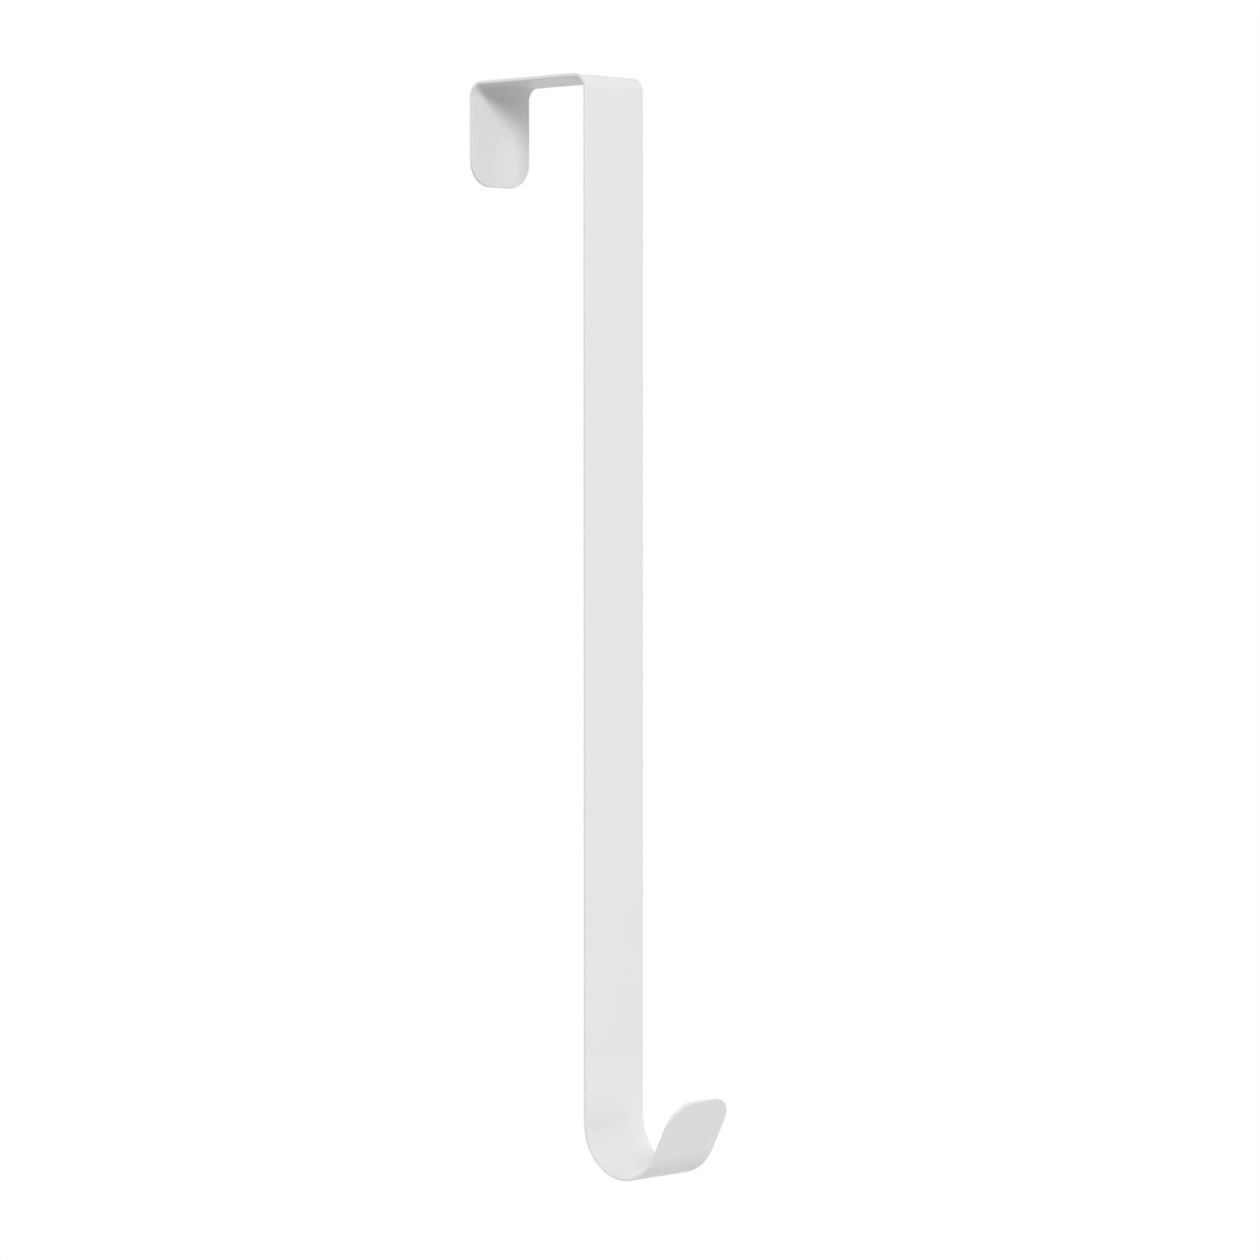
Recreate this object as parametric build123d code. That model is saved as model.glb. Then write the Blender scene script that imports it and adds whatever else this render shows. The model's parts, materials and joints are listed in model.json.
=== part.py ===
from build123d import *
from build123d.topology import topo_explore_connected_faces
import os

# Over-the-door wreath hanger: one flat steel strip, bent to a square saddle that sits over the
# top of a door, a long straight leg down the front of the door, and an open hook at its foot.
# X runs across the strip, the hook faces -Y, Z is up. The origin is under the middle of the
# saddle, where it rests on the door's top edge. Lengths are millimetres, angles are degrees.

# Driving dimensions
strip_width = 22.5
strip_thickness = 1.0
overall_height = 305.0  # top of the saddle down to the lowest point of the hook
door_gap = 45.0  # clear room for the door between the two legs
saddle_bend_radius = 3.5  # inside radius of the two bends over the door
back_leg_drop = 28.5  # door's top edge down to the tip of the back leg
hook_inner_radius = 14.0
hook_turn = 152.0  # turn of the hook bend, from the downward leg to the lip
lip_length = 17.2  # straight run of the lip, from the hook bend to its tip
end_corner_radius = 7.5  # rounded corners at both ends of the strip
edge_radius = 0.3  # rims rolled over in blanking and softened by the coating

# Places worked out from the driving dimensions
half_gap = door_gap / 2
hook_outer_radius = hook_inner_radius + strip_thickness
hook_bottom = strip_thickness - overall_height
hook_centre_height = hook_bottom + hook_outer_radius

# Directions in the side view, where Y runs to the right and Z runs up
upwards = (0, 1)
quarter_turn = 90.0
smooth_limit = 1.0  # faces that turn by less than this run on smoothly into each other


def bent_profile():
    """Side view of the strip: the line of its door-side face, thickened away from the door."""
    with BuildSketch(Plane.YZ.offset(-strip_width / 2)) as profile:
        with BuildLine():
            back_leg = Line((half_gap, -back_leg_drop), (half_gap, -saddle_bend_radius))
            back_bend = JernArc(back_leg @ 1, upwards, saddle_bend_radius, quarter_turn)
            saddle = Line(back_bend @ 1, (saddle_bend_radius - half_gap, 0))
            front_bend = JernArc(saddle @ 1, saddle % 1, saddle_bend_radius, quarter_turn)
            front_leg = Line(front_bend @ 1, (-half_gap, hook_centre_height))
            hook_bend = JernArc(front_leg @ 1, front_leg % 1, hook_outer_radius, -hook_turn)
            PolarLine(hook_bend @ 1, lip_length, direction=hook_bend % 1)
            offset(amount=strip_thickness, side=Side.RIGHT)
        make_face()
    return profile.sketch


def is_rim(edge):
    """A rim is where a broad face turns sharply into the strip's narrow edge."""
    middle = edge @ 0.5
    first, second = (Face(face).normal_at(middle) for face in topo_explore_connected_faces(edge))
    return first.get_angle(second) > smooth_limit


def hanger_strip():
    """The bent strip at its full width, with rounded ends and softened rims all round."""
    strip = extrude(bent_profile(), strip_width)
    end_corners = strip.edges().group_by(Edge.length)[0]
    strip = fillet(end_corners, end_corner_radius)
    return fillet(strip.edges().filter_by(is_rim), edge_radius)


os.makedirs("parts", exist_ok=True)
export_step(hanger_strip(), "parts/hanger_strip.step")
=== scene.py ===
import json
import math
from collections import namedtuple

import bmesh
import bpy
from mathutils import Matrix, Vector


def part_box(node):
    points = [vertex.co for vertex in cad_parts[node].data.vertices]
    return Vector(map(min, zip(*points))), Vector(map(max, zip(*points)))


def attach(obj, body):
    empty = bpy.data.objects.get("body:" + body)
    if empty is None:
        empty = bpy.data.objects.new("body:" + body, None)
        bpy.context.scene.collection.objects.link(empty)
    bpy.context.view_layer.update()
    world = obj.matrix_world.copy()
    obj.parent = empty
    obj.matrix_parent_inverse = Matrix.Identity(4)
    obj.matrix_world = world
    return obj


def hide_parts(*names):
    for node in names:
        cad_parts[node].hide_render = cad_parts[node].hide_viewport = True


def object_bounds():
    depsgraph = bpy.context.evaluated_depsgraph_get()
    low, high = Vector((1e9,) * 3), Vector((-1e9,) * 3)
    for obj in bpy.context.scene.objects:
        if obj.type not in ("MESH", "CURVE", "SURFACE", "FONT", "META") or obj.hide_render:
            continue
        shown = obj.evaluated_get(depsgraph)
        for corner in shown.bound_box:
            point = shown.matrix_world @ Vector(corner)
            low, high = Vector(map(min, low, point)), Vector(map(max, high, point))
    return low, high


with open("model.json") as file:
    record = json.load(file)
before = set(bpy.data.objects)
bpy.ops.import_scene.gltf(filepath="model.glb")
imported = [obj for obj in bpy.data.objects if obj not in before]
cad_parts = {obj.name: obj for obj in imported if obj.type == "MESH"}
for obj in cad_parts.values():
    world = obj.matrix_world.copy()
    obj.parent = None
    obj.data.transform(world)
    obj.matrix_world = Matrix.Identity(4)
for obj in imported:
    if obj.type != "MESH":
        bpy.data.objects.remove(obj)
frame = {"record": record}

# Over-the-door wreath hanger: one flat steel strip, bent to a saddle over the door's top edge, a long
# front leg and an open hook, powder coated white. X runs across the strip, the hook faces -Y, Z is up,
# and the origin is under the middle of the saddle. Lengths are metres and angles are radians, unless a
# comment says otherwise.

bl_info = {
    "name": "Wreath hanger",
    "version": (1, 0, 0),
    "blender": (4, 5, 0),
    "location": "3D View > Sidebar > Wreath hanger",
    "description": "Models a white over-the-door wreath hanger and its studio",
    "category": "Object",
}

cad_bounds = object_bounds()
millimetre = 0.001
quarter_turn = math.pi / 2

# Sizes that the frame gives: the strip's box, and the record's mounts on the door and in the hook
strip_low, strip_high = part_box("hanger_strip")
mounts = {mount["name"]: mount for mount in frame["record"]["mounts"]}
strip_width = strip_high[0] - strip_low[0]
strip_thickness = strip_high[2] - mounts["door_top"]["pos_m"][2]
half_gap = mounts["door_back"]["pos_m"][1]
hook_inner_radius = mounts["wreath_hook"]["dims"]["r_mm"] * millimetre
hook_floor = mounts["wreath_hook"]["pos_m"][2]

# Fineness of the strip's mesh
bend_step = math.radians(2.0)
corner_steps = 16
rim_steps = 4
rim_angle = math.radians(45.0)  # more than a step of a bend, less than a square rim
merge_distance = 0.001 * millimetre

# Powder coat
resin_ior = 1.5
peel_detail = 1.0  # octaves of noise: plain rounded swells
film_detail = 2.0  # octaves of noise: patches with softly broken borders

# Stage
white_strength = 1.0  # of the room and the floor where they are seen
floor_corners = 96
floor_glow = 0.75  # share of the seen floor that is plain white, the rest shows light and shadow
floor_fade = 0.4  # share of the floor's radius from which it fades to the white of the room
horizon_blur = 0.05  # height about the horizon over which the room's light sets in, in a room of radius 1
sensor_width = 36.0  # millimetres

# Soft boxes, with azimuth and elevation in degrees, distance and size in metres and power in watts. The
# key casts the saddle's shadow on the back leg, and the two rim lights stand behind, for the back and edges.
Lamp = namedtuple("Lamp", "name azimuth elevation distance size power")
lamps = (
    Lamp("key_softbox", azimuth=-28.0, elevation=26.0, distance=0.9, size=0.2, power=4.25),
    Lamp("front_fill", azimuth=10.0, elevation=3.0, distance=1.6, size=0.5, power=2.8),
    Lamp("left_rim", azimuth=-140.0, elevation=15.0, distance=1.6, size=0.5, power=6.0),
    Lamp("right_rim", azimuth=130.0, elevation=20.0, distance=1.6, size=0.5, power=6.0),
)

# The sRGB curve: a straight foot, and a power curve above it
hex_top = 255
foot_end = 0.04045
foot_slope = 12.92
curve_offset = 0.055
curve_power = 2.4


def linear(hex_colour):
    """Turns an sRGB hex value, such as F1F1F1, to linear red, green, blue and alpha."""
    channels = []
    for level in bytes.fromhex(hex_colour):
        share = level / hex_top
        if share <= foot_end:
            channels.append(share / foot_slope)
        else:
            channels.append(((share + curve_offset) / (1.0 + curve_offset)) ** curve_power)
    return (*channels, 1.0)


white = linear("FFFFFF")


class StripSizes(bpy.types.PropertyGroup):
    """Sizes of the bent strip."""
    width: bpy.props.FloatProperty(
        name="Width", description="Width of the strip",
        default=strip_width, unit="LENGTH", precision=4)
    thickness: bpy.props.FloatProperty(
        name="Thickness", description="Thickness of the strip with its coating",
        default=strip_thickness, unit="LENGTH", precision=4)
    door_gap: bpy.props.FloatProperty(
        name="Door gap", description="Clear room for the door between the two legs",
        default=2 * half_gap, unit="LENGTH", precision=4)
    saddle_bend_radius: bpy.props.FloatProperty(
        name="Saddle bend radius", description="Inside radius of the two bends over the door",
        default=3.5 * millimetre, unit="LENGTH", precision=4)
    back_leg_drop: bpy.props.FloatProperty(
        name="Back leg drop", description="Door's top edge down to the tip of the back leg",
        default=28.5 * millimetre, unit="LENGTH", precision=4)
    hook_drop: bpy.props.FloatProperty(
        name="Hook drop", description="Door's top edge down to the floor of the hook",
        default=-hook_floor, unit="LENGTH", precision=4)
    hook_radius: bpy.props.FloatProperty(
        name="Hook radius", description="Inside radius of the hook",
        default=hook_inner_radius, unit="LENGTH", precision=4)
    hook_turn: bpy.props.FloatProperty(
        name="Hook turn", description="Turn of the hook bend, from the downward leg to the lip",
        default=math.radians(152.0), subtype="ANGLE")
    lip_length: bpy.props.FloatProperty(
        name="Lip length", description="Straight run of the lip, from the hook bend to its tip",
        default=17.2 * millimetre, unit="LENGTH", precision=4)
    end_corner_radius: bpy.props.FloatProperty(
        name="End corner radius", description="Rounded corners at both ends of the strip",
        default=7.5 * millimetre, unit="LENGTH", precision=4)
    rim_radius: bpy.props.FloatProperty(
        name="Rim radius", description="Rims rolled over in blanking and softened by the coating",
        default=0.3 * millimetre, unit="LENGTH", precision=4)


class CoatFinish(bpy.types.PropertyGroup):
    """Colours and texture of the powder coat."""
    colour: bpy.props.FloatVectorProperty(
        name="Coat", description="Colour where the film has its full thickness",
        default=linear("E9E9E9"), size=4, min=0.0, max=1.0, subtype="COLOR")
    thin_colour: bpy.props.FloatVectorProperty(
        name="Thin coat", description="Colour where the film is a little thinner",
        default=linear("E7E7E7"), size=4, min=0.0, max=1.0, subtype="COLOR")
    film_patch: bpy.props.FloatProperty(
        name="Film patch", description="Distance between the slow patches of thinner film",
        default=18.0 * millimetre, unit="LENGTH", precision=4)
    roughness: bpy.props.FloatProperty(
        name="Roughness", description="Satin of the coat",
        default=0.45, min=0.0, max=1.0, subtype="FACTOR")
    roughness_swing: bpy.props.FloatProperty(
        name="Roughness swing", description="How much rougher thin film is, and how much smoother full film",
        default=0.04, min=0.0, max=1.0, subtype="FACTOR")
    peel_spacing: bpy.props.FloatProperty(
        name="Orange peel spacing", description="Distance between the low swells of the melted powder",
        default=1.6 * millimetre, unit="LENGTH", precision=4)
    peel_height: bpy.props.FloatProperty(
        name="Orange peel height", description="Height of the low swells of the melted powder",
        default=0.02 * millimetre, unit="LENGTH", precision=6)


class StudioSettings(bpy.types.PropertyGroup):
    """Camera, floor and light."""
    azimuth: bpy.props.FloatProperty(
        name="Camera azimuth", description="Camera's turn about the object, 0 looks along +Y",
        default=math.radians(-44.79), subtype="ANGLE")
    elevation: bpy.props.FloatProperty(
        name="Camera elevation", description="Camera's height above the horizon",
        default=math.radians(2.24), subtype="ANGLE")
    distance: bpy.props.FloatProperty(
        name="Camera distance", description="Camera to the point in the middle of the picture",
        default=1.262, unit="LENGTH")
    lens: bpy.props.FloatProperty(
        name="Lens", description="Focal length on a sensor 36 mm wide",
        default=129.7, unit="CAMERA")
    picture_centre: bpy.props.FloatVectorProperty(
        name="Picture centre", description="Point in the middle of the picture",
        default=(0.0032, -0.0263, -0.1529), size=3, subtype="TRANSLATION")
    floor_drop: bpy.props.FloatProperty(
        name="Floor drop", description="Lowest point of the hook down to the floor",
        default=0.15, unit="LENGTH")
    floor_colour: bpy.props.FloatVectorProperty(
        name="Floor", description="Colour of the floor",
        default=linear("E6E6E6"), size=4, min=0.0, max=1.0, subtype="COLOR")
    floor_radius: bpy.props.FloatProperty(
        name="Floor radius", description="Radius of the round floor board",
        default=0.56, unit="LENGTH")
    room_light: bpy.props.FloatProperty(
        name="Room light", description="Even light from above the horizon",
        default=0.535, min=0.0)


def add_node(tree, kind, settings=None, inputs=None):
    """Adds a node, sets its properties, and sets or links its inputs."""
    node = tree.nodes.new(kind)
    for name, value in (settings or {}).items():
        setattr(node, name, value)
    for socket, value in (inputs or {}).items():
        if isinstance(value, bpy.types.NodeSocket):
            tree.links.new(value, node.inputs[socket])
        else:
            node.inputs[socket].default_value = value
    return node


def empty_tree(owner):
    """Gives a material or world a node tree with nothing in it."""
    owner.use_nodes = True
    owner.node_tree.nodes.clear()
    return owner.node_tree


def white_powder_coat(finish):
    """White polyester powder coat, melted on in an oven: satin, smooth, with a faint orange peel."""
    # The eye sees an even white with broad soft reflections. The low swells of the melted powder break
    # these up slightly, and are at the high end for such a coat, so that they show. The film is a little
    # thinner, and so a little darker and rougher, in slow patches.
    material = bpy.data.materials.new("white_powder_coated_steel")
    tree = empty_tree(material)
    place = add_node(tree, "ShaderNodeTexCoord").outputs["Object"]
    swells = add_node(
        tree, "ShaderNodeTexNoise",
        inputs={"Vector": place, "Scale": 1 / finish.peel_spacing, "Detail": peel_detail})
    relief = add_node(
        tree, "ShaderNodeBump",
        inputs={"Height": swells.outputs["Fac"], "Distance": finish.peel_height})
    film = add_node(
        tree, "ShaderNodeTexNoise",
        inputs={"Vector": place, "Scale": 1 / finish.film_patch, "Detail": film_detail})
    tint = add_node(
        tree, "ShaderNodeMix", {"data_type": "RGBA"},
        {"Factor": film.outputs["Fac"], "A": finish.thin_colour, "B": finish.colour})
    satin = add_node(
        tree, "ShaderNodeMapRange",
        inputs={
            "Value": film.outputs["Fac"],
            "To Min": finish.roughness + finish.roughness_swing,
            "To Max": finish.roughness - finish.roughness_swing,
        })
    coat = add_node(
        tree, "ShaderNodeBsdfPrincipled",
        inputs={
            "Base Color": tint.outputs["Result"],
            "Roughness": satin.outputs["Result"],
            "IOR": resin_ior,
            "Normal": relief.outputs["Normal"],
        })
    add_node(tree, "ShaderNodeOutputMaterial", inputs={"Surface": coat.outputs["BSDF"]})
    return material


def select_verts(chosen):
    """Selects the vertices that chosen() picks in the mesh being edited, and the edges between them."""
    mesh = bpy.context.object.data
    edited = bmesh.from_edit_mesh(mesh)
    for vert in edited.verts:
        vert.select = chosen(vert.co)
    if not any(vert.select for vert in edited.verts):
        raise RuntimeError("No end of the strip was found to work on")
    edited.select_mode = {"VERT"}
    edited.select_flush_mode()
    bmesh.update_edit_mesh(mesh)


def run_on(y, z):
    """Extrudes the selected end of the strip straight on by a distance along Y and Z."""
    bpy.ops.mesh.extrude_region_move(TRANSFORM_OT_translate={"value": (0.0, y, z)})


def bend_on(turn, centre_y, centre_z):
    """Bends the selected end of the strip on round a centre. A turn above zero goes from +Y up to +Z."""
    steps = math.ceil(abs(turn) / bend_step)
    centre = (0.0, centre_y, centre_z)
    # Spin turns against the right-hand rule, so its axis points along -X
    bpy.ops.mesh.spin(steps=steps, angle=turn, center=centre, axis=(-1.0, 0.0, 0.0))


def round_corners(radius):
    """Rounds the two selected corners at an end of the strip."""
    bpy.ops.mesh.bevel(offset=radius, segments=corner_steps, affect="VERTICES")


def apply_modifier(piece, kind, **settings):
    """Adds a modifier to a piece with its settings, and applies it."""
    modifier = piece.modifiers.new(kind.lower(), kind)
    for name, value in settings.items():
        setattr(modifier, name, value)
    bpy.ops.object.modifier_apply(modifier=modifier.name)


class WREATH_HANGER_OT_strip(bpy.types.Operator):
    """Model the bent strip and give it its powder coat"""
    bl_idname = "wreath_hanger.strip"
    bl_label = "Bent strip"

    def execute(self, context):
        sizes = context.scene.wreath_hanger_strip

        # The strip's middle surface: the legs, and the centres of the saddle's bends and of the hook
        half_thickness = sizes.thickness / 2
        leg_y = sizes.door_gap / 2 + half_thickness
        back_leg_run = sizes.back_leg_drop - sizes.saddle_bend_radius
        back_leg_middle = -(sizes.back_leg_drop + sizes.saddle_bend_radius) / 2
        bend_y = sizes.door_gap / 2 - sizes.saddle_bend_radius
        bend_z = -sizes.saddle_bend_radius
        hook_y = -leg_y - half_thickness - sizes.hook_radius
        hook_z = sizes.hook_radius - sizes.hook_drop
        lip_y = -math.sin(sizes.hook_turn) * sizes.lip_length
        lip_z = -math.cos(sizes.hook_turn) * sizes.lip_length

        # The back leg is a flat blank, and the strip grows from its upper end
        bpy.ops.object.select_all(action="DESELECT")
        bpy.ops.mesh.primitive_plane_add(
            size=1.0, calc_uvs=False,
            location=(0.0, leg_y, back_leg_middle), rotation=(quarter_turn, 0.0, 0.0))
        strip = context.object
        strip.name = strip.data.name = "coated_strip"
        bpy.ops.transform.resize(value=(sizes.width, 1.0, back_leg_run))
        bpy.ops.object.transform_apply(location=True, rotation=True, scale=True)
        bpy.ops.object.mode_set(mode="EDIT")
        select_verts(lambda place: place.z < back_leg_middle)
        round_corners(sizes.end_corner_radius)
        select_verts(lambda place: place.z > bend_z - merge_distance)
        bend_on(quarter_turn, bend_y, bend_z)
        run_on(-2 * bend_y, 0.0)
        bend_on(quarter_turn, -bend_y, bend_z)
        run_on(0.0, hook_z - bend_z)
        bend_on(-sizes.hook_turn, hook_y, hook_z)
        run_on(lip_y, lip_z)
        round_corners(sizes.end_corner_radius)

        bpy.ops.mesh.select_all(action="SELECT")
        bpy.ops.mesh.remove_doubles(threshold=merge_distance)
        bpy.ops.mesh.normals_make_consistent(inside=False)
        bpy.ops.object.mode_set(mode="OBJECT")

        # The sheet gets its thickness evenly to both sides, and its rims are softened all round
        apply_modifier(strip, "SOLIDIFY", thickness=sizes.thickness, offset=0.0, use_even_offset=True)
        apply_modifier(
            strip, "BEVEL", width=sizes.rim_radius, segments=rim_steps,
            limit_method="ANGLE", angle_limit=rim_angle)
        bpy.ops.object.shade_smooth_by_angle(angle=rim_angle)
        apply_modifier(strip, "WEIGHTED_NORMAL", keep_sharp=True)

        strip.data.materials.append(white_powder_coat(context.scene.wreath_hanger_coat))
        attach(strip, "root")
        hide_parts("hanger_strip")
        return {"FINISHED"}


def seen_directly(tree):
    """Gives 1 for rays from the camera and for those that reflect or pass light, and 0 for the rest."""
    rays = add_node(tree, "ShaderNodeLightPath").outputs
    camera_or_gloss = add_node(
        tree, "ShaderNodeMath", {"operation": "MAXIMUM"},
        {0: rays["Is Camera Ray"], 1: rays["Is Glossy Ray"]})
    seen = add_node(
        tree, "ShaderNodeMath", {"operation": "MAXIMUM"},
        {0: camera_or_gloss.outputs["Value"], 1: rays["Is Transmission Ray"]})
    return seen.outputs["Value"]


def white_room(studio):
    """Even white room: plain white where it is seen, and a softer light on the object from above."""
    world = bpy.data.worlds.new("white_room")
    tree = empty_tree(world)
    facing = add_node(tree, "ShaderNodeTexCoord").outputs["Generated"]
    height = add_node(tree, "ShaderNodeSeparateXYZ", inputs={"Vector": facing}).outputs["Z"]
    walls = add_node(
        tree, "ShaderNodeMapRange",
        inputs={
            "Value": height,
            "From Min": -horizon_blur,
            "From Max": horizon_blur,
            "To Max": studio.room_light,
        })
    strength = add_node(
        tree, "ShaderNodeMix",
        inputs={"Factor": seen_directly(tree), "A": walls.outputs["Result"], "B": white_strength})
    light = add_node(
        tree, "ShaderNodeBackground",
        inputs={"Color": white, "Strength": strength.outputs["Result"]})
    add_node(tree, "ShaderNodeOutputWorld", inputs={"Surface": light.outputs["Background"]})
    return world


def pale_floor(studio):
    """Matt painted board, pale, as the studio's floor."""
    # The eye sees a nearly white ground that keeps the object's shadow and fades into the white room
    material = bpy.data.materials.new("pale_studio_board")
    tree = empty_tree(material)
    board = add_node(tree, "ShaderNodeBsdfDiffuse", inputs={"Color": studio.floor_colour})
    glow = add_node(tree, "ShaderNodeEmission", inputs={"Color": white, "Strength": white_strength})
    place = add_node(tree, "ShaderNodeTexCoord").outputs["Object"]
    radius = add_node(tree, "ShaderNodeVectorMath", {"operation": "LENGTH"}, {0: place})
    fade = add_node(
        tree, "ShaderNodeMapRange",
        inputs={
            "Value": radius.outputs["Value"],
            "From Min": studio.floor_radius * floor_fade,
            "From Max": studio.floor_radius,
            "To Min": floor_glow,
        })
    share = add_node(
        tree, "ShaderNodeMath", {"operation": "MULTIPLY"},
        {0: seen_directly(tree), 1: fade.outputs["Result"]})
    mix = add_node(
        tree, "ShaderNodeMixShader",
        inputs={0: share.outputs["Value"], 1: board.outputs["BSDF"], 2: glow.outputs["Emission"]})
    add_node(tree, "ShaderNodeOutputMaterial", inputs={"Surface": mix.outputs["Shader"]})
    return material


def stand(centre, azimuth, elevation, distance):
    """Gives the place and turn of a lamp or camera that looks at a centre from this side and height."""
    level = math.cos(elevation)
    back = Vector((math.sin(azimuth) * level, -math.cos(azimuth) * level, math.sin(elevation)))
    return {"location": centre + back * distance, "rotation": back.to_track_quat("Z", "Y").to_euler()}


class WREATH_HANGER_OT_stage(bpy.types.Operator):
    """Set up the floor, the soft light and the camera"""
    bl_idname = "wreath_hanger.stage"
    bl_label = "Studio"

    def execute(self, context):
        scene = context.scene
        studio = scene.wreath_hanger_studio
        centre = Vector(studio.picture_centre)

        bpy.ops.object.select_all(action="DESELECT")
        floor_height = cad_bounds[0][2] - studio.floor_drop
        bpy.ops.mesh.primitive_circle_add(
            vertices=floor_corners, radius=studio.floor_radius, fill_type="NGON",
            location=(0.0, 0.0, floor_height))
        floor = context.object
        floor.name = floor.data.name = "studio_floor"
        floor.data.materials.append(pale_floor(studio))

        for lamp in lamps:
            azimuth = math.radians(lamp.azimuth)
            elevation = math.radians(lamp.elevation)
            bpy.ops.object.light_add(
                type="AREA", radius=lamp.size, **stand(centre, azimuth, elevation, lamp.distance))
            context.object.name = context.object.data.name = lamp.name
            context.object.data.energy = lamp.power

        bpy.ops.object.camera_add(**stand(centre, studio.azimuth, studio.elevation, studio.distance))
        camera = context.object
        camera.name = camera.data.name = "photo_camera"
        camera.data.lens = studio.lens
        camera.data.sensor_width = sensor_width
        scene.camera = camera

        scene.world = white_room(studio)
        scene.view_settings.view_transform = "Standard"
        return {"FINISHED"}


class WREATH_HANGER_PT_panel(bpy.types.Panel):
    """Lists the strip, the stage and their settings"""
    bl_idname = "WREATH_HANGER_PT_panel"
    bl_label = "Wreath hanger"
    bl_space_type = "VIEW_3D"
    bl_region_type = "UI"
    bl_category = "Wreath hanger"

    def draw(self, context):
        for operator, groups in panel_rows:
            box = self.layout.box()
            box.operator(operator)
            for group in groups:
                settings = getattr(context.scene, group)
                for name in settings.bl_rna.properties.keys():
                    if name not in ("rna_type", "name"):
                        box.prop(settings, name)


panel_rows = (
    ("wreath_hanger.strip", ("wreath_hanger_strip", "wreath_hanger_coat")),
    ("wreath_hanger.stage", ("wreath_hanger_studio",)),
)

setting_groups = {
    "wreath_hanger_strip": StripSizes,
    "wreath_hanger_coat": CoatFinish,
    "wreath_hanger_studio": StudioSettings,
}

classes = (
    *setting_groups.values(),
    WREATH_HANGER_OT_strip,
    WREATH_HANGER_OT_stage,
    WREATH_HANGER_PT_panel,
)


def register():
    """Registers the classes, and hangs their settings on the scene."""
    for cls in classes:
        bpy.utils.register_class(cls)
    for name, group in setting_groups.items():
        setattr(bpy.types.Scene, name, bpy.props.PointerProperty(type=group))


def unregister():
    """Takes the settings off the scene, and the classes out again."""
    for name in setting_groups:
        delattr(bpy.types.Scene, name)
    for cls in reversed(classes):
        bpy.utils.unregister_class(cls)


def main():
    """Models the hanger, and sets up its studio."""
    register()
    bpy.ops.wreath_hanger.strip()
    bpy.ops.wreath_hanger.stage()


if __name__ == "__main__":
    main()
